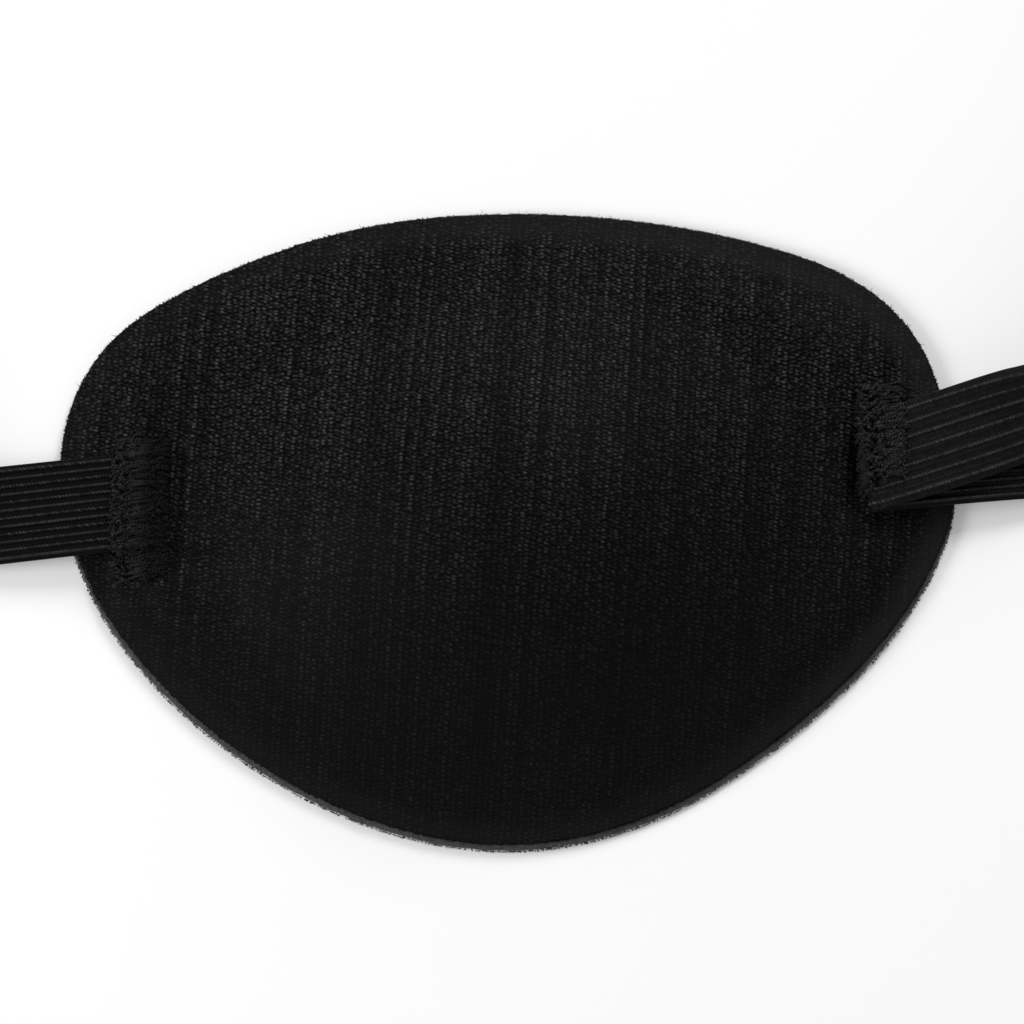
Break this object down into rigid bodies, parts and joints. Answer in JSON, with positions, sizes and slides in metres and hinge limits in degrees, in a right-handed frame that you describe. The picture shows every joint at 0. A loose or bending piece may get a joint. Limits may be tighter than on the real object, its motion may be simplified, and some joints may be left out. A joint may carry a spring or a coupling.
{
  "type": "eye patch",
  "caption": "Moulded fabric eye patch with a cupped three-layer pad, bar-tacked to one flat elastic head strap that is shortened with a slider.",
  "frame": {"origin": "under the middle of the pad's outline, on the plane that the rim rests on", "axes": "+X along the pad's length towards the side with the folded strap, +Y up the face, +Z out of the face, through the dome"},
  "size_m": [0.1568, 0.1286, 0.0156],
  "materials": {
    "face_cloth": "fine black warp knit, matt, pressed smooth at the rim",
    "foam": "dark grey laminated foam, seen only at the cut edge",
    "lining_cloth": "soft black brushed lining",
    "tack_thread": "black spun polyester sewing thread",
    "elastic": "black ribbed braided elastic",
    "slider_plastic": "black moulded plastic, satin gloss"
  },
  "bodies": {
    "patch": {"outer_fabric": "face_cloth", "foam_core": "foam", "lining_fabric": "lining_cloth", "left_tack_needle_thread": "tack_thread", "left_tack_bobbin_thread": "tack_thread", "right_tack_needle_thread": "tack_thread", "right_tack_bobbin_thread": "tack_thread", "head_strap": "elastic", "slider_lead": "elastic"},
    "adjuster": {"slider": "slider_plastic", "slider_seam": "tack_thread"}
  },
  "joints": [
    {"name": "slider_travel", "type": "slide", "parent": "patch", "child": "adjuster", "axis": [0, 1, 0], "range_m": [-0.002, 0.007], "deforming": ["slider_lead"]}
  ]
}
